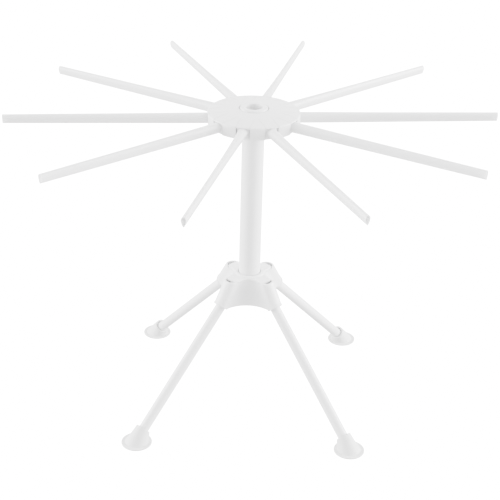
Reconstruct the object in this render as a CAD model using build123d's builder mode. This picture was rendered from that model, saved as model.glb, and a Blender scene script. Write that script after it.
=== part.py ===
from build123d import *
import os
from math import cos, radians, sin, tan

os.makedirs("parts", exist_ok=True)

# Folding pasta drying rack in millimetres. The origin is on the floor on the
# column axis, +Z is up, and the four legs lie on the diagonals. At rest the
# hub is turned so that its first arm lies hub_turn degrees from +X.

# Clearances and cuts
overrun = 1.0  # how far a cut runs past the face that it opens
fit_gap = 0.03  # radial gap of a piece that is fixed in its hole
running_gap = 0.05  # radial gap of a shaft that turns in its hole
seat_gap = 0.1  # gap beside a piece that is laid in a pocket
swing_gap = 0.3  # side gap of a piece that swings between cheeks

# Column
column_radius = 9.4
column_wall = 1.45
column_plug = 12.0  # solid length at the foot, for the screw
shoulder_width = 1.8  # ring under the hub
shoulder_height = 2.5
head_overhang = 2.2  # flange of the head past the column
head_height = 2.4
head_wall = 0.82  # stem of the head in the bore
head_lip = 0.8  # rounding of the bore's mouth
head_edge = 1.6
head_stem = 12.0

# Hub
hub_turn = 6.09  # degrees from +X to the first arm
hub_radius = 38.6
arm_height_above_floor = 266.0  # centre lines of the arms
hub_below = 4.6  # arm centre line down to the hub's underside
hub_rim_rise = 5.6  # arm centre line up to the rim's top edge
hub_crown_rise = 8.6  # arm centre line up to the crown
hub_bulge = 0.35  # how far the dome stands above a straight slope
hub_edge = 1.3  # rounding of the rim
hub_wall = 1.8
hub_plate = 1.6  # bottom plate
hub_roof = 2.0  # top plate between the slots
head_sink = 1.45  # depth of the recess for the column head
head_gap = 0.9  # ring gap between the head and the recess wall
head_play = 0.25  # lift between the head and the recess floor
hub_sleeve = 2.3  # wall of the hub's bearing sleeve
hub_boss_drop = 4.3  # sleeve of the bottom plate below the hub
hub_float = 0.1  # gap between that sleeve and the column's shoulder
slot_width = 11.2
slot_cover = 0.8  # rim's top edge down to a slot's roof
slot_heel = 5.5  # arm pin in to the slot's end

# Hub screws
screw_count = 5
screw_inset = 7.5  # slot's end in to the ring of screws
screw_radius = 1.2
screw_length = 8.0
screw_head_radius = 2.4
screw_head_height = 1.1
screw_boss = 3.0
cross_width = 0.6
cross_share = 0.6  # depth of a cross recess over its head's height

# Arms
arm_count = 10
arm_reach = 205.0  # column axis to the tips
arm_pin_inset = 7.6  # hub's rim in to an arm pin
arm_pin_radius = 1.25
arm_pin_seat = 1.5  # length of a pin's end in its cheek
knuckle_side_gap = 0.6
knuckle_inset = 1.0  # hub's rim in to a knuckle's end
knuckle_edge = 0.6
bar_side_step = 1.0  # knuckle's side in to the bar's
bar_top_step = 0.1
bar_overlap = 1.5  # length of the bar inside the knuckle
arm_station_shares = (0.0, 0.139, 0.258, 0.377, 0.614, 0.852, 1.0)
arm_width_shares = (0.95, 0.74, 0.63, 0.56, 0.505, 0.475, 0.49)
arm_depth_shares = (1.0, 1.0, 0.98, 0.955, 0.915, 0.875, 0.845)
arm_keel_share = 0.4  # how much the section narrows to its lower edge
arm_section_points = 12
tip_wall = 0.65
tip_depth = 3.0
tip_taper_share = 0.7  # size of the tip's bore at its end over its mouth

# Legs
leg_count = 4
leg_radius = 4.4
leg_lean = 44.76  # degrees from the vertical
leg_pivot_radius = 18.6
leg_pivot_height = 114.0
leg_end_height = 5.5  # where the rod's centre line ends above the floor
leg_pin_radius = 1.5
leg_pin_seat = 1.1  # length of a pin's end in its cheek

# Feet
foot_radius = 13.2
foot_reach = 7.9  # leg's centre line at the mouth out to the foot's centre
foot_flange = 1.45
foot_edge = 0.5
foot_mouth_height = 10.6  # leg's centre line at the mouth
foot_neck_wall = 2.1
foot_neck_shift = 0.6  # neck's centre outward of the leg's
foot_mouth_gap = 0.7  # round the leg in the mouth
foot_mouth_depth = 3.5
foot_bell_inset = 2.5  # flange's edge in to the foot of the bell
foot_sink_share = 0.5  # how deep in the flange that is
foot_waist_radius = 8.0  # ring of the bell between its foot and its mouth
foot_waist_share = 0.5
foot_waist_tilt_share = 0.6  # its tilt over the leg's lean

# Base
pivot_cover = 5.6  # leg pivots up to the seat, where the cap lies on the skirt
hood_rise = 1.3  # seat up to the top of the hoods
hood_overhang = 8.9  # leg pivot out to a hood's end at its top
hood_spread = 31.1  # degrees of the hood's crest from the vertical
cheek_wall = 1.9
web_step = 1.6  # collar out to the middle of a side, at the top of the hoods
web_spread = 14.9  # degrees of the side from the vertical
skirt_drop = 15.7  # leg pivots down to the lower edge of the skirt
skirt_wall = 1.4
hood_length = 21.44  # leg pivot to the mouth, along the leg
lip_length = 1.2
lip_rise = 0.45
socket_wall = 2.2
socket_floor = 2.0
socket_drop = 1.3  # lower edge of the skirt down to the socket's foot
rib_width = 2.4
cheek_length = 6.4
stop_inset = 9.44  # mouth in to the start of the leg stop
stop_length = 7.0
cap_inset = 0.15  # skirt's side in to the cap's
cap_end_inset = 2.9  # hood's end in to the end of the cap's room
cap_end_gap = 2.2  # end of that room in to the cap's lobe
collar_gap = 0.85
collar_wall = 2.05
collar_rise = 3.2  # seat up to the collar's top
collar_step = 0.45
collar_flare = 1.2  # how far the collar's slope runs out
collar_slope_rise = 2.0  # seat up to the foot of that slope
cap_edge = 0.8

# Column screw
column_screw_radius = 2.0
column_screw_length = 11.0
column_screw_head = 4.0
column_screw_head_height = 2.4

# Radii, widths and heights that follow
arm_step = 360 / arm_count
leg_step = 360 / leg_count
first_leg = leg_step / 2
column_bore = column_radius - column_wall
head_radius = column_radius + head_overhang
head_bore = column_bore - fit_gap - head_wall
hub_bore = column_radius + running_gap
sleeve_radius = hub_bore + hub_sleeve
arm_pivot_radius = hub_radius - arm_pin_inset
slot_end = arm_pivot_radius - slot_heel
screw_ring_radius = slot_end - screw_inset
slot_roof = hub_rim_rise - slot_cover
knuckle_end = hub_radius - knuckle_inset
knuckle_width = slot_width - 2 * knuckle_side_gap
knuckle_radius = slot_roof - seat_gap
arm_width = knuckle_width - 2 * bar_side_step
arm_depth = 2 * (knuckle_radius - bar_top_step)
arm_pin_length = slot_width + 2 * arm_pin_seat
hub_underside = arm_height_above_floor - hub_below
plate_top = hub_underside + hub_plate
crown_top = arm_height_above_floor + hub_crown_rise
recess_floor = crown_top - head_sink
column_top = recess_floor + head_play
boss_foot = hub_underside - hub_boss_drop
shoulder_radius = column_radius + shoulder_width
shoulder_top = boss_foot - hub_float
cheek_inner = leg_radius + swing_gap
hood_half_width = cheek_inner + cheek_wall
leg_pin_length = 2 * (cheek_inner + leg_pin_seat)
seat_height = leg_pivot_height + pivot_cover
hood_top = seat_height + hood_rise
hood_reach = leg_pivot_radius + hood_overhang
skirt_foot = leg_pivot_height - skirt_drop
socket_foot = skirt_foot - socket_drop
socket_radius = column_radius + fit_gap
socket_outer = socket_radius + socket_wall
column_foot = socket_foot + socket_floor
collar_bore = column_radius + collar_gap
collar_radius = collar_bore + collar_wall
collar_foot_radius = collar_radius + collar_flare
collar_foot = seat_height + collar_slope_rise
collar_top = seat_height + collar_rise
cap_reach = hood_reach - cap_end_inset
cap_end = cap_reach - cap_end_gap
web_radius = collar_radius + web_step
leg_length = (leg_pivot_height - leg_end_height) / cos(radians(leg_lean))
mouth_along = (leg_pivot_height - foot_mouth_height) / cos(radians(leg_lean))
foot_centre = leg_pivot_radius + mouth_along * sin(radians(leg_lean)) + foot_reach
foot_neck_radius = leg_radius + foot_neck_wall
foot_bell_radius = foot_radius - foot_bell_inset


def ray(azimuth):
    """Unit vector that points away from the column axis."""
    return Vector(cos(radians(azimuth)), sin(radians(azimuth)), 0)


def side_vector(azimuth):
    """Unit vector across a ray, level and counter-clockwise."""
    return Vector(-sin(radians(azimuth)), cos(radians(azimuth)), 0)


def place(azimuth, radius, height, side=0.0):
    """Point at a radius and height on a ray, shifted sideways."""
    return ray(azimuth) * radius + side_vector(azimuth) * side + Vector(0, 0, height)


def radial_plane(azimuth, side=0.0):
    """Upright plane along a ray: x is the radius, y the height."""
    return Plane(
        origin=place(azimuth, 0, 0, side),
        x_dir=ray(azimuth),
        z_dir=side_vector(azimuth) * -1,
    )


def across_plane(azimuth, radius, height):
    """Upright plane square to a ray: x runs sideways, y up."""
    return Plane(
        origin=place(azimuth, radius, height),
        x_dir=side_vector(azimuth),
        z_dir=ray(azimuth),
    )


def along_leg(azimuth):
    """Unit vector down a leg."""
    lean = radians(leg_lean)
    return ray(azimuth) * sin(lean) + Vector(0, 0, -cos(lean))


def leg_plane(azimuth):
    """Upright plane of a leg: x runs down the leg from its pivot, y outward and up."""
    return Plane(
        origin=place(azimuth, leg_pivot_radius, leg_pivot_height),
        x_dir=along_leg(azimuth),
        z_dir=side_vector(azimuth) * -1,
    )


def leg_cross_plane(azimuth, distance):
    """Plane square to a leg at a distance from its pivot: x runs sideways, y inward and down."""
    return Plane(
        origin=place(azimuth, leg_pivot_radius, leg_pivot_height) + along_leg(azimuth) * distance,
        x_dir=side_vector(azimuth),
        z_dir=along_leg(azimuth) * -1,
    )


def lobed_outline(end, half_width, waist):
    """Lines of a four-lobed outline: round ends on the diagonals, hollow sides."""
    slant = sin(radians(leg_step / 2))
    hollow = (waist * slant - half_width) / (1 - slant)
    turn = (waist + hollow) * cos(radians(leg_step / 2))
    centre = end - half_width
    for corner in range(leg_count):
        azimuth = first_leg + corner * leg_step
        ThreePointArc(
            place(azimuth, centre, 0, -half_width),
            place(azimuth, end, 0),
            place(azimuth, centre, 0, half_width),
        )
        Line(place(azimuth, centre, 0, half_width), place(azimuth, turn, 0, half_width))
        ThreePointArc(
            place(azimuth, turn, 0, half_width),
            place(azimuth + leg_step / 2, waist, 0),
            place(azimuth + leg_step, turn, 0, -half_width),
        )
        Line(
            place(azimuth + leg_step, turn, 0, -half_width),
            place(azimuth + leg_step, centre, 0, -half_width),
        )


def arm_section(width, depth):
    """Closed line of an arm's section: widest above its middle, narrow below."""
    points = []
    for step in range(arm_section_points):
        angle = radians(360 * step / arm_section_points)
        narrowing = 1 + arm_keel_share * cos(angle)
        points.append((width / 2 * sin(angle) * narrowing, depth / 2 * cos(angle)))
    Spline(*points, periodic=True)


def hood_reach_at(height):
    """Column axis to the end of a hood at a height."""
    return hood_reach + (hood_top - height) * tan(radians(hood_spread))


def web_radius_at(height):
    """Column axis to the middle of a side of the skirt at a height."""
    return web_radius + (hood_top - height) * tan(radians(web_spread))


arm_azimuths = [hub_turn + index * arm_step for index in range(arm_count)]
leg_azimuths = [first_leg + index * leg_step for index in range(leg_count)]

# Column: a tube with a solid foot and a ring that carries the hub
with BuildPart() as column_tube:
    with BuildSketch(Plane.XZ):
        with BuildLine():
            Polyline(
                (column_screw_radius + fit_gap, column_foot),
                (column_radius, column_foot),
                (column_radius, shoulder_top - shoulder_height),
                (shoulder_radius, shoulder_top - shoulder_height),
                (shoulder_radius, shoulder_top),
                (column_radius, shoulder_top),
                (column_radius, column_top),
                (column_bore, column_top),
                (column_bore, column_foot + column_plug),
                (column_screw_radius + fit_gap, column_foot + column_plug),
                close=True,
            )
        make_face()
    revolve(axis=Axis.Z)
column_tube.part.label = "column_tube"
export_step(column_tube.part, "parts/column_tube.step")

# Column head: the ring in the middle of the hub, with a stem in the tube
with BuildPart() as column_head:
    with BuildSketch(Plane.XZ):
        with BuildLine():
            Polyline(
                (head_bore, column_top - head_stem),
                (column_bore - fit_gap, column_top - head_stem),
                (column_bore - fit_gap, column_top),
                (head_radius, column_top),
                (head_radius, column_top + head_height),
                (head_bore, column_top + head_height),
                close=True,
            )
        make_face()
    revolve(axis=Axis.Z)
    rims = column_head.edges().filter_by(GeomType.CIRCLE).group_by(Axis.Z)[-1].sort_by(SortBy.RADIUS)
    fillet(rims[0], head_lip)
    rims = column_head.edges().filter_by(GeomType.CIRCLE).group_by(Axis.Z)[-1].sort_by(SortBy.RADIUS)
    fillet(rims[-1], head_edge)
column_head.part.label = "column_head"
export_step(column_head.part, "parts/column_head.step")

# Hub: a domed disc with a slot for each arm, open at the rim and below
pocket_edge = slot_width / 2 + hub_wall
pocket_top = arm_height_above_floor + hub_rim_rise - hub_roof
well_top = arm_height_above_floor + slot_roof
rebate_radius = hub_radius - hub_wall
with BuildPart() as hub_top:
    with BuildSketch(Plane.XZ):
        rim_top = (hub_radius, arm_height_above_floor + hub_rim_rise)
        crown = (head_radius + head_gap, crown_top)
        middle = (
            (rim_top[0] + crown[0]) / 2,
            (rim_top[1] + crown[1]) / 2 + hub_bulge,
        )
        with BuildLine():
            Polyline(
                crown,
                (crown[0], recess_floor),
                (hub_bore, recess_floor),
                (hub_bore, plate_top),
                (rebate_radius, plate_top),
                (rebate_radius, hub_underside),
                (hub_radius, hub_underside),
                rim_top,
            )
            ThreePointArc(rim_top, middle, crown)
        make_face()
    revolve(axis=Axis.Z)
    rim = hub_top.edges().filter_by(GeomType.CIRCLE).sort_by(SortBy.RADIUS)
    fillet(rim.filter_by_position(Axis.Z, rim_top[1] - seat_gap, rim_top[1] + seat_gap)[-1], hub_edge)
    # Ring-shaped well round the sleeve, with the screw bosses left standing
    with BuildSketch(Plane.XY.offset(plate_top - overrun)):
        Circle(slot_end - hub_wall)
        Circle(sleeve_radius, mode=Mode.SUBTRACT)
        with PolarLocations(screw_ring_radius, screw_count, start_angle=hub_turn):
            Circle(screw_boss, mode=Mode.SUBTRACT)
    extrude(amount=well_top - plate_top + overrun, mode=Mode.SUBTRACT)
    # Wedge-shaped pockets between the slots
    with BuildSketch(Plane.XY.offset(plate_top - overrun)):
        Circle(rebate_radius)
        Circle(slot_end, mode=Mode.SUBTRACT)
        for azimuth in arm_azimuths:
            with Locations(place(azimuth, hub_radius / 2, 0)):
                Rectangle(hub_radius, 2 * pocket_edge, rotation=azimuth, mode=Mode.SUBTRACT)
    extrude(amount=pocket_top - plate_top + overrun, mode=Mode.SUBTRACT)
    # Arm slots
    slot_length = hub_radius + overrun - slot_end
    with BuildSketch(Plane.XY.offset(hub_underside - overrun)):
        for azimuth in arm_azimuths:
            with Locations(place(azimuth, slot_end + slot_length / 2, 0)):
                Rectangle(slot_length, slot_width, rotation=azimuth)
    extrude(amount=hub_below + overrun + slot_roof, mode=Mode.SUBTRACT)
    # Notches in the cheeks for the arm pins, open below
    for azimuth in arm_azimuths:
        with BuildSketch(radial_plane(azimuth, -arm_pin_length / 2 - fit_gap)):
            with Locations((arm_pivot_radius, arm_height_above_floor)):
                Circle(arm_pin_radius + fit_gap)
            with Locations((arm_pivot_radius, (arm_height_above_floor + hub_underside) / 2)):
                Rectangle(2 * (arm_pin_radius + fit_gap), hub_below)
        extrude(amount=-arm_pin_length - 2 * fit_gap, mode=Mode.SUBTRACT)
    # Screw holes
    with BuildSketch(Plane.XY.offset(plate_top - overrun)):
        with PolarLocations(screw_ring_radius, screw_count, start_angle=hub_turn):
            Circle(screw_radius + fit_gap)
    extrude(amount=screw_length + overrun, mode=Mode.SUBTRACT)
hub_top.part.label = "hub_top"
export_step(hub_top.part, "parts/hub_top.step")

# Hub bottom: a star-shaped plate with a sleeve that stands on the shoulder
post_height = hub_below - hub_plate - arm_pin_radius - seat_gap
post_width = arm_pin_length / 2 - slot_width / 2 - 2 * seat_gap
with BuildPart() as hub_bottom:
    with BuildSketch(Plane.XY.offset(hub_underside)):
        Circle(rebate_radius - seat_gap)
        Circle(hub_bore, mode=Mode.SUBTRACT)
        for azimuth in arm_azimuths:
            with Locations(place(azimuth, slot_end + slot_length / 2, 0)):
                Rectangle(slot_length, slot_width, rotation=azimuth, mode=Mode.SUBTRACT)
    extrude(amount=hub_plate)
    with BuildSketch(Plane.XY.offset(boss_foot)):
        Circle(sleeve_radius)
        Circle(hub_bore, mode=Mode.SUBTRACT)
    extrude(amount=hub_boss_drop + hub_plate)
    # Posts that stand in the notches and hold the arm pins
    with BuildSketch(Plane.XY.offset(plate_top)):
        for azimuth in arm_azimuths:
            for side in (-1, 1):
                post_side = side * (slot_width / 2 + seat_gap + post_width / 2)
                with Locations(place(azimuth, arm_pivot_radius, 0, post_side)):
                    Rectangle(2 * (arm_pin_radius - seat_gap), post_width, rotation=azimuth)
    extrude(amount=post_height)
    with BuildSketch(Plane.XY.offset(hub_underside - overrun)):
        with PolarLocations(screw_ring_radius, screw_count, start_angle=hub_turn):
            Circle(screw_radius + fit_gap)
    extrude(amount=hub_plate + 2 * overrun, mode=Mode.SUBTRACT)
hub_bottom.part.label = "hub_bottom"
export_step(hub_bottom.part, "parts/hub_bottom.step")

# Hub screws: pan heads under the plate, all in one group
with BuildPart() as hub_screws:
    with BuildSketch(Plane.XY.offset(hub_underside - screw_head_height)):
        with PolarLocations(screw_ring_radius, screw_count, start_angle=hub_turn):
            Circle(screw_head_radius)
    extrude(amount=screw_head_height)
    with BuildSketch(Plane.XY.offset(hub_underside)):
        with PolarLocations(screw_ring_radius, screw_count, start_angle=hub_turn):
            Circle(screw_radius)
    extrude(amount=hub_plate + screw_length - seat_gap)
    with BuildSketch(Plane.XY.offset(hub_underside - screw_head_height)):
        with PolarLocations(screw_ring_radius, screw_count, start_angle=hub_turn):
            Rectangle(screw_head_radius, cross_width)
            Rectangle(cross_width, screw_head_radius)
    extrude(amount=screw_head_height * cross_share, mode=Mode.SUBTRACT)
hub_screws.part.label = "hub_screws"
export_step(hub_screws.part, "parts/hub_screws.step")

# One arm and its pin along +X: a knuckle in the slot and a tapered bar with an open tip
bar_start = knuckle_end - bar_overlap
bar_length = arm_reach - bar_start
tip_width = arm_width * arm_width_shares[-1] - 2 * tip_wall
tip_height = arm_depth * arm_depth_shares[-1] - 2 * tip_wall
with BuildPart() as arm_form:
    with BuildSketch(radial_plane(0)):
        with Locations((arm_pivot_radius, arm_height_above_floor)):
            Circle(knuckle_radius)
        with Locations(((arm_pivot_radius + knuckle_end) / 2, arm_height_above_floor)):
            Rectangle(knuckle_end - arm_pivot_radius, 2 * knuckle_radius)
    extrude(amount=knuckle_width / 2, both=True)
    fillet(arm_form.faces().sort_by(Axis.X)[-1].edges(), knuckle_edge)
    for station, width, depth in zip(arm_station_shares, arm_width_shares, arm_depth_shares):
        with BuildSketch(across_plane(0, bar_start + station * bar_length, arm_height_above_floor)):
            with BuildLine():
                arm_section(arm_width * width, arm_depth * depth)
            make_face()
    loft()
    for distance, share in ((tip_depth, tip_taper_share), (0, 1)):
        with BuildSketch(across_plane(0, arm_reach - distance, arm_height_above_floor)):
            with BuildLine():
                arm_section(tip_width * share, tip_height * share)
            make_face()
    loft(mode=Mode.SUBTRACT)
    with BuildSketch(radial_plane(0)):
        with Locations((arm_pivot_radius, arm_height_above_floor)):
            Circle(arm_pin_radius + running_gap)
    extrude(amount=knuckle_width, both=True, mode=Mode.SUBTRACT)

with BuildPart() as arm_pin_form:
    with BuildSketch(radial_plane(0)):
        with Locations((arm_pivot_radius, arm_height_above_floor)):
            Circle(arm_pin_radius)
    extrude(amount=arm_pin_length / 2, both=True)

for index, azimuth in enumerate(arm_azimuths, start=1):
    with BuildPart() as arm:
        add(arm_form.part, rotation=(0, 0, azimuth))
    arm.part.label = f"arm_{index}"
    export_step(arm.part, f"parts/arm_{index}.step")

    with BuildPart() as arm_pin:
        add(arm_pin_form.part, rotation=(0, 0, azimuth))
    arm_pin.part.label = f"arm_pin_{index}"
    export_step(arm_pin.part, f"parts/arm_pin_{index}.step")

# Outer form of the skirt, without its hollow
with BuildPart() as skirt_form:
    for height in (skirt_foot, hood_top):
        with BuildSketch(Plane.XY.offset(height)):
            with BuildLine():
                lobed_outline(hood_reach_at(height), hood_half_width, web_radius_at(height))
            make_face()
    loft(ruled=True)

# Hollow of the skirt, open above and below
with BuildPart() as skirt_hollow:
    for height in (skirt_foot - overrun, hood_top + overrun):
        with BuildSketch(Plane.XY.offset(height)):
            with BuildLine():
                lobed_outline(
                    hood_reach_at(height) - skirt_wall,
                    hood_half_width - skirt_wall,
                    web_radius_at(height) - skirt_wall,
                )
            make_face()
    loft(ruled=True)

# Lip round the mouths: a slightly larger form, kept only at the mouths
with BuildPart() as skirt_lip:
    for height in (skirt_foot, hood_top):
        with BuildSketch(Plane.XY.offset(height)):
            with BuildLine():
                lobed_outline(
                    hood_reach_at(height) + lip_rise,
                    hood_half_width + lip_rise,
                    web_radius_at(height),
                )
            make_face()
    loft(ruled=True)
with BuildPart() as lip_slabs:
    for azimuth in leg_azimuths:
        with BuildSketch(leg_cross_plane(azimuth, hood_length)):
            Rectangle(4 * hood_half_width, 4 * hood_half_width)
        extrude(amount=lip_length)

# Form of the cap, flush with the skirt's sides, and the room cut for it in the skirt
with BuildPart() as cap_form:
    for height in (seat_height, collar_top):
        with BuildSketch(Plane.XY.offset(height)):
            with BuildLine():
                lobed_outline(cap_reach, hood_half_width - cap_inset, web_radius_at(height) - cap_inset)
            make_face()
    loft(ruled=True)
with BuildPart() as cap_room:
    with BuildSketch(Plane.XY.offset(seat_height)):
        with BuildLine():
            lobed_outline(cap_reach + seat_gap, hood_half_width + overrun, web_radius + overrun)
        make_face()
    extrude(amount=collar_top - seat_height)

# Skirt: hoods over the legs, hollow sides, socket, ribs, cheeks and leg stops
with BuildPart() as base_skirt:
    with BuildSketch(Plane.XY.offset(skirt_foot)):
        with PolarLocations(0, leg_count):
            with Locations((web_radius / 2 + socket_outer / 2, 0)):
                Rectangle(web_radius, rib_width)
    extrude(amount=seat_height - skirt_foot)
    for azimuth in leg_azimuths:
        with BuildSketch(Plane.XY.offset(leg_pivot_height - cheek_length / 2)):
            for side in (-1, 1):
                cheek_side = side * (cheek_inner + hood_half_width) / 2
                with Locations(place(azimuth, leg_pivot_radius, 0, cheek_side)):
                    Rectangle(cheek_length, hood_half_width - cheek_inner, rotation=azimuth)
        extrude(amount=seat_height - leg_pivot_height + cheek_length / 2)
        with BuildSketch(leg_plane(azimuth)):
            stop_centre = hood_length - stop_inset + stop_length / 2
            with Locations((stop_centre, leg_radius + seat_gap + hood_half_width / 2)):
                Rectangle(stop_length, hood_half_width)
        extrude(amount=hood_half_width, both=True)
    add(skirt_form.part, mode=Mode.INTERSECT)
    add(skirt_form.part - skirt_hollow.part)
    add((skirt_lip.part & lip_slabs.part) - skirt_hollow.part)
    for azimuth in leg_azimuths:
        with BuildSketch(leg_cross_plane(azimuth, hood_length)):
            Rectangle(4 * hood_half_width, 4 * hood_half_width)
        extrude(amount=-3 * hood_half_width, mode=Mode.SUBTRACT)
    add(cap_room.part, mode=Mode.SUBTRACT)
    with BuildSketch(Plane.XY.offset(socket_foot)):
        Circle(socket_outer)
    extrude(amount=seat_height - socket_foot)
    with BuildSketch(Plane.XY.offset(column_foot)):
        Circle(socket_radius)
    extrude(amount=seat_height - column_foot + overrun, mode=Mode.SUBTRACT)
    with BuildSketch(Plane.XY.offset(socket_foot - overrun)):
        Circle(column_screw_radius + seat_gap)
    extrude(amount=socket_floor + 2 * overrun, mode=Mode.SUBTRACT)
    # Notches for the leg pins, open above
    for azimuth in leg_azimuths:
        with BuildSketch(radial_plane(azimuth, -leg_pin_length / 2 - fit_gap)):
            with Locations((leg_pivot_radius, leg_pivot_height)):
                Circle(leg_pin_radius + fit_gap)
            with Locations((leg_pivot_radius, (leg_pivot_height + seat_height) / 2)):
                Rectangle(2 * (leg_pin_radius + fit_gap), seat_height - leg_pivot_height)
        extrude(amount=-leg_pin_length - 2 * fit_gap, mode=Mode.SUBTRACT)
base_skirt.part.label = "base_skirt"
export_step(base_skirt.part, "parts/base_skirt.step")

# Cap: slopes from the collar to the four lobes, with tabs that hold the pins
tab_width = leg_pin_length / 2 - cheek_inner - 2 * seat_gap
tab_drop = seat_height - leg_pivot_height - leg_pin_radius - seat_gap
with BuildPart() as base_cap:
    with BuildSketch(Plane.XZ):
        with BuildLine():
            Polyline(
                (collar_bore, seat_height),
                (cap_reach + overrun, seat_height),
                (cap_reach + overrun, hood_top),
                (cap_reach, hood_top),
                (collar_foot_radius, collar_foot),
                (collar_radius + collar_step, collar_top - collar_step),
                (collar_radius, collar_top),
                (collar_bore, collar_top),
                close=True,
            )
        make_face()
    revolve(axis=Axis.Z)
    add(cap_form.part, mode=Mode.INTERSECT)
    brim = base_cap.edges().filter_by(lambda edge: abs(edge.tangent_at(0.5).Z) < 0.5)
    brim = brim.filter_by_position(Axis.Z, seat_height + seat_gap, collar_foot + seat_gap)
    fillet(brim.filter_by(GeomType.CIRCLE, reverse=True), cap_edge)
    # The lobes end short of the hoods
    with BuildSketch(Plane.XY.offset(seat_height)):
        Circle(cap_reach + overrun)
        Circle(cap_end, mode=Mode.SUBTRACT)
    extrude(amount=collar_top - seat_height, mode=Mode.SUBTRACT)
    with BuildSketch(Plane.XY.offset(seat_height - tab_drop)):
        for azimuth in leg_azimuths:
            for side in (-1, 1):
                tab_side = side * (cheek_inner + seat_gap + tab_width / 2)
                with Locations(place(azimuth, leg_pivot_radius, 0, tab_side)):
                    Rectangle(2 * (leg_pin_radius - seat_gap), tab_width, rotation=azimuth)
    extrude(amount=tab_drop)
base_cap.part.label = "base_cap"
export_step(base_cap.part, "parts/base_cap.step")

# Column screw: one pan head under the socket
with BuildPart() as column_screw:
    with BuildSketch(Plane.XY.offset(socket_foot - column_screw_head_height)):
        Circle(column_screw_head)
    extrude(amount=column_screw_head_height)
    with BuildSketch(Plane.XY.offset(socket_foot)):
        Circle(column_screw_radius)
    extrude(amount=column_screw_length + socket_floor)
    with BuildSketch(Plane.XY.offset(socket_foot - column_screw_head_height)):
        Rectangle(column_screw_head, 2 * cross_width)
        Rectangle(2 * cross_width, column_screw_head)
    extrude(amount=column_screw_head_height * cross_share, mode=Mode.SUBTRACT)
column_screw.part.label = "column_screw"
export_step(column_screw.part, "parts/column_screw.step")

# One leg along +X: a round rod that ends in a ball round its pin
with BuildPart() as leg_form:
    with BuildSketch(leg_plane(0)):
        with BuildLine():
            Line((-leg_radius, 0), (leg_length, 0))
            Line((leg_length, 0), (leg_length, leg_radius))
            Line((leg_length, leg_radius), (0, leg_radius))
            CenterArc((0, 0), leg_radius, 90, 90)
        make_face()
    revolve(axis=Axis(leg_plane(0).origin, along_leg(0)))
    with BuildSketch(radial_plane(0)):
        with Locations((leg_pivot_radius, leg_pivot_height)):
            Circle(leg_pin_radius + running_gap)
    extrude(amount=2 * leg_radius, both=True, mode=Mode.SUBTRACT)

with BuildPart() as leg_pin_form:
    with BuildSketch(radial_plane(0)):
        with Locations((leg_pivot_radius, leg_pivot_height)):
            Circle(leg_pin_radius)
    extrude(amount=leg_pin_length / 2, both=True)

# One foot along +X: a round flange and a bell that leans over to the leg
mouth_plane = leg_cross_plane(0, mouth_along)
bell_centre = place(0, foot_centre, foot_flange * foot_sink_share)
waist_lean = radians(leg_lean * foot_waist_tilt_share)
waist_plane = Plane(
    origin=bell_centre + (mouth_plane.origin - bell_centre) * foot_waist_share,
    x_dir=side_vector(0),
    z_dir=(-sin(waist_lean), 0, cos(waist_lean)),
)
with BuildPart() as foot_form:
    with BuildSketch(mouth_plane):
        with Locations((0, -foot_neck_shift)):
            Circle(foot_neck_radius)
    with BuildSketch(waist_plane):
        Circle(foot_waist_radius)
    with BuildSketch(Plane(origin=bell_centre, x_dir=side_vector(0), z_dir=(0, 0, 1))):
        Circle(foot_bell_radius)
    loft()
    with BuildSketch():
        with Locations((foot_centre, 0)):
            Circle(foot_radius)
    extrude(amount=foot_flange)
    rims = foot_form.edges().filter_by(GeomType.CIRCLE)
    fillet(rims.filter_by(lambda edge: edge.radius > foot_radius - foot_edge), foot_edge)
    with BuildSketch(mouth_plane):
        with Locations((0, -foot_neck_shift)):
            Circle(leg_radius + foot_mouth_gap)
    extrude(amount=-foot_mouth_depth, mode=Mode.SUBTRACT)
    with BuildSketch(mouth_plane):
        Circle(leg_radius + fit_gap)
    extrude(amount=mouth_along - leg_length, mode=Mode.SUBTRACT)

for index, azimuth in enumerate(leg_azimuths, start=1):
    with BuildPart() as leg:
        add(leg_form.part, rotation=(0, 0, azimuth))
    leg.part.label = f"leg_{index}"
    export_step(leg.part, f"parts/leg_{index}.step")

    with BuildPart() as leg_pin:
        add(leg_pin_form.part, rotation=(0, 0, azimuth))
    leg_pin.part.label = f"leg_pin_{index}"
    export_step(leg_pin.part, f"parts/leg_pin_{index}.step")

    with BuildPart() as foot:
        add(foot_form.part, rotation=(0, 0, azimuth))
    foot.part.label = f"foot_{index}"
    export_step(foot.part, f"parts/foot_{index}.step")
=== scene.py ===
import bpy
from math import cos, radians, sin
from mathutils import Matrix, Vector

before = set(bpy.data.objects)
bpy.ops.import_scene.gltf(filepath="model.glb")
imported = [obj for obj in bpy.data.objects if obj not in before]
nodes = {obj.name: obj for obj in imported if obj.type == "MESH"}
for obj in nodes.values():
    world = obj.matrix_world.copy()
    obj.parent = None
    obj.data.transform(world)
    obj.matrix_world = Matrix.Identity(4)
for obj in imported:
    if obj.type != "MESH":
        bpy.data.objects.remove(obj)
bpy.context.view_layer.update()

# Camera: a long lens about a metre away, a little above the hub and looking
# down past it. It is rolled slightly, so the column leans to the right at its
# top as it does in the photograph.
camera_place = Vector((0.01597, -0.94286, 0.6310))
camera_turn = radians(0.97)
camera_dip = radians(27.364)
camera_roll = radians(1.62)
picture_width = 500  # pixels across the photograph
lens_in_pixels = 1217.501  # focal length in the same pixels
film_width = 36.0  # mm
nearest, farthest = 0.05, 100.0  # metres at which the view begins and ends

ahead = Vector((
    -sin(camera_turn) * cos(camera_dip),
    cos(camera_turn) * cos(camera_dip),
    -sin(camera_dip),
))
level = Vector((cos(camera_turn), sin(camera_turn), 0))
above = level.cross(ahead)
to_right = level * cos(camera_roll) + above * sin(camera_roll)
to_top = above * cos(camera_roll) - level * sin(camera_roll)

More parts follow.
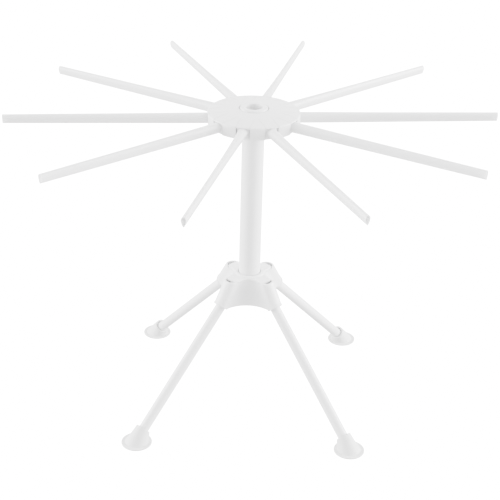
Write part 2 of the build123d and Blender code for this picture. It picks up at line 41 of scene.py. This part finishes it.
lens = bpy.data.cameras.new("camera")
lens.sensor_width = film_width
lens.lens = film_width * lens_in_pixels / picture_width
lens.clip_start = nearest
lens.clip_end = farthest
camera = bpy.data.objects.new("camera", lens)
turn = Matrix((to_right, to_top, -ahead)).transposed().to_4x4()
camera.matrix_world = Matrix.Translation(camera_place) @ turn
bpy.context.scene.collection.objects.link(camera)
bpy.context.scene.camera = camera

# Light: a white room with large soft boxes at both sides and a weak one
# behind. Nothing else lights the camera's side, which gives white plastic its
# soft grey middle and pale edges.
room_light = 2.7
aim = Vector((0, 0, 0.2))  # between the hub and the base
soft_boxes = [  # name, place and side in metres, power in watts
    ("light_behind", (0.0, 1.7, 0.9), 1.4, 18.0),
    ("light_left", (-1.7, 0.1, 0.6), 1.3, 130.0),
    ("light_right", (1.7, 0.1, 0.6), 1.3, 158.0),
]


def add_soft_box(name, place, side, power):
    """A square area light that faces the aim."""
    data = bpy.data.lights.new(name, "AREA")
    data.shape = "SQUARE"
    data.size = side
    data.energy = power
    box = bpy.data.objects.new(name, data)
    facing = (aim - Vector(place)).to_track_quat("-Z", "Y").to_matrix().to_4x4()
    box.matrix_world = Matrix.Translation(place) @ facing
    bpy.context.scene.collection.objects.link(box)


for name, place, side, power in soft_boxes:
    add_soft_box(name, place, side, power)
room = bpy.data.worlds.new("studio")
room.use_nodes = True
backdrop = room.node_tree.nodes["Background"]
backdrop.inputs["Color"].default_value = (1, 1, 1, 1)
backdrop.inputs["Strength"].default_value = room_light
bpy.context.scene.world = room

# Table: a plain white floor that glows, but lights nothing itself. It lies
# just under the feet of the folded legs and is clear from below, so it hides
# nothing of the rack at any pose.
table_reach = 40.0
table_height = -0.08
table_glow = 16.0
table_mesh = bpy.data.meshes.new("table")
corners = [
    (x * table_reach, y * table_reach, table_height)
    for x, y in ((-1, -1), (1, -1), (1, 1), (-1, 1))
]
table_mesh.from_pydata(corners, [], [(0, 1, 2, 3)])
table = bpy.data.objects.new("table", table_mesh)
table.visible_diffuse = False
table.visible_glossy = False
bpy.context.scene.collection.objects.link(table)


class Link:
    """A shader socket, or a number, that takes part in Python sums."""

    def __init__(self, tree, value):
        self.tree = tree
        self.value = value

    def node(self, kind, settings=None, **sockets):
        """Adds a node, sets it up, fills its sockets and returns it.

        A socket goes by its name, with _ for a space, or by i and its number.
        """
        made = self.tree.nodes.new(kind)
        for key, setting in (settings or {}).items():
            setattr(made, key, setting)
        for key, value in sockets.items():
            numbered = key[0] == "i" and key[1:].isdigit()
            socket = made.inputs[int(key[1:]) if numbered else key.replace("_", " ")]
            value = value.value if isinstance(value, Link) else value
            if isinstance(value, bpy.types.NodeSocket):
                self.tree.links.new(value, socket)
            else:
                socket.default_value = value
        return made

    def math(self, operation, *values):
        """A Math node on this value and others."""
        sockets = {f"i{index}": value for index, value in enumerate((self,) + values)}
        made = self.node("ShaderNodeMath", {"operation": operation}, **sockets)
        return Link(self.tree, made.outputs[0])

    def __add__(self, other):
        return self.math("ADD", other)

    __radd__ = __add__

    def __mul__(self, other):
        return self.math("MULTIPLY", other)

    __rmul__ = __mul__

    def __sub__(self, other):
        return self.math("SUBTRACT", other)

    def __rsub__(self, other):
        return Link(self.tree, other).math("SUBTRACT", self)

    def __truediv__(self, other):
        return self.math("DIVIDE", other)

    def __rtruediv__(self, other):
        return Link(self.tree, other).math("DIVIDE", self)

    def mixed(self, other, share):
        """This value times (1 - share), plus the other times share."""
        return self * (1 - share) + other * share

    def bell(self):
        """A bell curve, 1 at zero: e to the power of minus the square."""
        return (self * self * -1).math("EXPONENT")

    def point(self, x, y, z):
        """The vector of three values."""
        return Link(self.tree, self.node("ShaderNodeCombineXYZ", i0=x, i1=y, i2=z).outputs[0])

    def noise(self, size, detail=3.0):
        """A noise about 0.5 on this vector, with patches of a size in metres.

        Each finer layer of it is 0.55 times as strong as the one before.
        """
        sockets = {"Vector": self, "Scale": 1.0 / size, "Detail": detail, "Roughness": 0.55}
        return Link(self.tree, self.node("ShaderNodeTexNoise", **sockets).outputs[0])

    def blend(self, low, high):
        """A colour from low at 0 to high at 1."""
        ends = {"i6": (*low, 1), "i7": (*high, 1)}
        return self.node("ShaderNodeMix", {"data_type": "RGBA"}, i0=self, **ends).outputs[2]


def table_paper():
    """Matt white that glows. Its alpha is 1 minus what tells the side seen from below."""
    paper = bpy.data.materials.new("table_paper")
    paper.use_nodes = True
    tree = paper.node_tree
    shader = tree.nodes["Principled BSDF"]
    shader.inputs["Base Color"].default_value = (0.93, 0.93, 0.93, 1)
    shader.inputs["Roughness"].default_value = 0.9
    shader.inputs["Emission Color"].default_value = (1, 1, 1, 1)
    shader.inputs["Emission Strength"].default_value = table_glow
    face = Link(tree, 0.0).node("ShaderNodeNewGeometry")
    below = Link(tree, face.outputs["Backfacing"])
    tree.links.new((1.0 - below).value, shader.inputs["Alpha"])
    return paper


table.data.materials.append(table_paper())

# Column: a white moulded tube that stands in the base and carries the hub.
# It is drawn off a long core, so faint streaks run up it, and its skin has
# the half gloss of polished moulds.
white = (0.86, 0.86, 0.86)
off_white = (0.82, 0.82, 0.825)
glow_depth = 0.002  # metres that light wanders in the plastic
refraction = 1.49
gloss_swing = 0.2  # from the least to the greatest roughness
fine = 2.0  # detail of the finest noises
column_squeeze = 0.025  # of the streaks, along z


def new_skin(name, pale, dull, roughness, translucence=0.25):
    """Starts a material. Returns the place on the piece, its x, y, z, and end.

    end(cloud, gloss, height, depth) joins the material up and returns it. It
    takes a cloud from dull at 0 to pale at 1, a gloss about 0.5 that moves the
    roughness either way, and a height that times a depth in metres is the
    relief.
    """
    material = bpy.data.materials.new(name)
    material.use_nodes = True
    tree = material.node_tree
    shader = tree.nodes["Principled BSDF"]
    shader.inputs["IOR"].default_value = refraction
    shader.inputs["Subsurface Weight"].default_value = translucence
    shader.inputs["Subsurface Radius"].default_value = (1.0, 1.0, 1.0)
    shader.inputs["Subsurface Scale"].default_value = glow_depth
    start = Link(tree, 0.0)
    place = start.node("ShaderNodeTexCoord").outputs["Object"]
    axes = [Link(tree, out) for out in start.node("ShaderNodeSeparateXYZ", i0=place).outputs]

    def end(cloud, gloss, height, depth):
        tree.links.new(cloud.blend(dull, pale), shader.inputs["Base Color"])
        rough = (gloss - 0.5) * gloss_swing + roughness
        tree.links.new(rough.value, shader.inputs["Roughness"])
        bump = start.node("ShaderNodeBump", Height=height, Distance=depth, Strength=1.0)
        tree.links.new(bump.outputs["Normal"], shader.inputs["Normal"])
        return material

    return Link(tree, place), axes, end


def column_plastic():
    """White plastic with streaks up the column: noise squeezed 40 to 1 along z."""
    place, (x, y, z), end = new_skin("white_plastic_column", white, off_white, roughness=0.34)
    streaks = place.point(x, y, z * column_squeeze).noise(size=0.0016)
    cloud = place.noise(size=0.05).mixed(streaks, share=0.4)
    grain = place.noise(size=0.0009, detail=fine)
    return end(cloud, streaks, grain.mixed(streaks, share=0.5), depth=0.00003)


def dress(name, material):
    """Gives a node of the frame one material."""
    nodes[name].data.materials.clear()
    nodes[name].data.materials.append(material)


dress("column_tube", column_plastic())


# Column head: a white ring pressed into the top of the column. It closes the
# hub's bearing, and its rolled lip is polished smoother than the rest.
def head_plastic():
    """White plastic, glossier, with rings turned round the column's axis."""
    place, (x, y, z), end = new_skin("white_plastic_head", white, off_white, roughness=0.2)
    radius = (x * x + y * y).math("SQRT")
    rings = place.point(radius, z, 0.0).noise(size=0.0011, detail=fine)
    cloud = place.noise(size=0.02)
    relief = rings.mixed(place.noise(size=0.0008, detail=fine), share=0.6)
    return end(cloud, rings, relief, depth=0.000025)


dress("column_head", head_plastic())

# Hub top: one white moulding with ten slots under a thin roof. The walls of
# the slots draw the roof down as it cools, so two shallow sink lines follow
# each arm over the top. The lines are also painted darker, as painted shade
# for the shade that falls in them.
hub_turn = radians(6.09)
arm_step = radians(36)
slot_wall_side = 0.0056  # from an arm's centre line to a sink line
sink_width = 0.0006
sink_start, sink_full = 0.021, 0.028  # from the axis to where a line begins and is full
sink_depth = 0.00014
# Painted shade: each sink line is painted from white towards the grey below. That grey is also
# the dull end of the hub's random cloud.
sink_painted_shade = 0.8  # how far a line goes from white to its grey
tone_and_painted_shade_grey = (0.70, 0.70, 0.705)
hub_cloud = 0.25  # how far the cloud between the lines goes
hub_grain_height = 0.12  # of the grain, to the lines' 1


def beside_ray(x, y, first, step):
    """Distance along and across the nearest of the rays that stand a step apart.

    The azimuth less the first ray's is folded into one step about the nearest
    ray, and the radius is then split by that angle's cosine and sine.
    """
    azimuth = y.math("ARCTAN2", x) - first
    off = azimuth - (azimuth / step).math("ROUND") * step
    radius = (x * x + y * y).math("SQRT")
    return radius * off.math("COSINE"), radius * off.math("SINE")


def hub_plastic():
    """White plastic with a pair of sink lines along each slot, painted darker as painted shade.

    Each is a bell curve across, times a ramp from 0 where the line begins to 1
    where it is full.
    """
    place, (x, y, z), end = new_skin("white_plastic_hub", white, tone_and_painted_shade_grey, roughness=0.36)
    along, across = beside_ray(x, y, hub_turn, arm_step)
    line = ((across.math("ABSOLUTE") - slot_wall_side) / sink_width).bell()
    reach = (along - sink_start) / (sink_full - sink_start)
    reach = reach.math("MAXIMUM", 0.0).math("MINIMUM", 1.0)
    grain = place.noise(size=0.0011, detail=fine)
    cloud = place.noise(size=0.03) * hub_cloud + (1 - hub_cloud)
    relief = grain * hub_grain_height - line * reach + 1.0
    # The cloud less the lines is painted shade in the sink lines.
    return end(cloud - line * reach * sink_painted_shade, place.noise(size=0.006), relief, sink_depth)


dress("hub_top", hub_plastic())


# Hub bottom: the star-shaped plate under the hub that traps the arm pins, and
# its sleeve. It is seen only from below and has a plainer, duller skin.
def plate_plastic():
    """White plastic with a slow cloud and an even fine grain."""
    place, _, end = new_skin("white_plastic_plate", white, off_white, roughness=0.42)
    grain = place.noise(size=0.0007, detail=fine)
    return end(place.noise(size=0.025), place.noise(size=0.004), grain, depth=0.00003)


dress("hub_bottom", plate_plastic())

# Hub screws: five zinc-plated steel screws that hold the plate to the hub.
# They were rolled and plated, so their skin is bright with a soft grain.
bright_zinc = (0.66, 0.66, 0.67)
dull_zinc = (0.52, 0.52, 0.54)


def plated_steel(name):
    """Steel with a fine grain: one noise gives both its two greys and its relief."""
    place, _, end = new_skin(name, bright_zinc, dull_zinc, roughness=0.28)
    grain = place.noise(size=0.0006)
    material = end(grain, place.noise(size=0.002), grain, depth=0.00001)
    material.node_tree.nodes["Principled BSDF"].inputs["Metallic"].default_value = 1.0
    return material


screw_steel = plated_steel("screw_steel")
dress("hub_screws", screw_steel)

# Arms: ten tapered white bars that fold down from the hub. Each was filled
# from its knuckle, so faint flow streaks run out along it, and the mould's
# halves met where the bar is widest, which leaves a fine seam on both sides.
arm_count = 10
arm_seam_height = 0.2672
seam_width = 0.00022
rod_squeeze = 0.033  # of the streaks, along an arm or a leg
rod_skin_height = 0.2  # of the grain and of the streaks, to the seam's 1
rod_depth = 0.00006


def rod_skin(place, streak_place, seam):
    """The cloud, streaks and relief of an arm or a leg.

    The cloud is half noise and half streaks. The relief is the grain and the
    streaks, both kept low, plus the seam.
    """
    streaks = streak_place.noise(size=0.0014)
    grain = place.noise(size=0.0009, detail=fine)
    cloud = place.noise(size=0.04).mixed(streaks, share=0.5)
    return cloud, streaks, grain * rod_skin_height + streaks * rod_skin_height + seam


def arm_plastic():
    """White plastic with streaks along the arm, squeezed 30 to 1, and a bell-shaped seam."""
    place, (x, y, z), end = new_skin(
        "white_plastic_arm", white, off_white, roughness=0.33, translucence=0.8
    )
    along, across = beside_ray(x, y, hub_turn, arm_step)
    seam = ((z - arm_seam_height) / seam_width).bell()
    return end(*rod_skin(place, place.point(along * rod_squeeze, across, z), seam), rod_depth)


arm_white = arm_plastic()
pin_steel = plated_steel("pin_steel")
for number in range(1, arm_count + 1):
    dress(f"arm_{number}", arm_white)
    dress(f"arm_pin_{number}", pin_steel)

# Base skirt: a hollow white moulding with four hoods that hold the legs. Its
# sides are drawn upwards from the mould, and it has the hub's half gloss.
drag_squeeze = 0.08  # of the drag marks, along z


def skirt_plastic():
    """White plastic with a slow cloud, and drag marks from the mould squeezed 12 to 1 along z."""
    place, (x, y, z), end = new_skin(
        "white_plastic_skirt", white, off_white, roughness=0.36, translucence=0.7
    )
    drag = place.point(x, y, z * drag_squeeze).noise(size=0.0018)
    grain = place.noise(size=0.001, detail=fine)
    return end(place.noise(size=0.025), drag, grain.mixed(drag, share=0.4), depth=0.00003)


dress("base_skirt", skirt_plastic())


# Base cap: the white lid with the collar round the column. Four lobes cover
# the leg pins, and it is a little smoother than the skirt.
def cap_plastic():
    """White plastic with a slow cloud and a fine even grain."""
    place, _, end = new_skin(
        "white_plastic_cap", white, off_white, roughness=0.32, translucence=0.7
    )
    grain = place.noise(size=0.0009, detail=fine)
    return end(place.noise(size=0.02), place.noise(size=0.005), grain, depth=0.000025)


dress("base_cap", cap_plastic())

# Column screw: one larger screw that pulls the column into the base. It is
# plated like the hub's screws.
dress("column_screw", screw_steel)

# Legs: four round white rods that swing out of the hoods on steel pins. They
# were filled from the pin's end, so streaks run down them too, between the
# seams that the mould left on both sides.
leg_count = 4
leg_lean = radians(44.76)
leg_step = radians(90)
leg_pivot_out, leg_pivot_height = 0.0186, 0.114


def leg_plastic():
    """White plastic with streaks down the leg, squeezed 30 to 1, and a bell-shaped seam.

    The place is split along and across the nearest leg's diagonal. The part
    along it and the height then turn by the lean into down the leg and proud
    of it.
    """
    place, (x, y, z), end = new_skin("white_plastic_leg", white, off_white, roughness=0.33)
    out, across = beside_ray(x, y, leg_step / 2, leg_step)
    down = out * sin(leg_lean) - z * cos(leg_lean)
    proud = (out - leg_pivot_out) * cos(leg_lean) + (z - leg_pivot_height) * sin(leg_lean)
    seam = (proud / seam_width).bell()
    return end(*rod_skin(place, place.point(down * rod_squeeze, across, proud), seam), rod_depth)


leg_white = leg_plastic()
for number in range(1, leg_count + 1):
    dress(f"leg_{number}", leg_white)
    dress(f"leg_pin_{number}", pin_steel)

# Feet: four soft white boots pressed on the legs. They are greyer and duller
# than the plastic, with the fine dimples of a sparked mould.
boot_pale = (0.78, 0.78, 0.775)
boot_dull = (0.71, 0.71, 0.71)


def boot_rubber():
    """Matt white rubber: a mottled colour and a dimpled skin, each of two sizes."""
    place, _, end = new_skin("foot_rubber", boot_pale, boot_dull, roughness=0.58)
    mottle = place.noise(size=0.006).mixed(place.noise(size=0.0015), share=0.4)
    pits = place.noise(size=0.0006, detail=fine)
    dimples = pits.mixed(place.noise(size=0.0022, detail=fine), share=0.3)
    return end(mottle, place.noise(size=0.003), dimples, depth=0.00006)


boot_white = boot_rubber()
for number in range(1, leg_count + 1):
    dress(f"foot_{number}", boot_white)
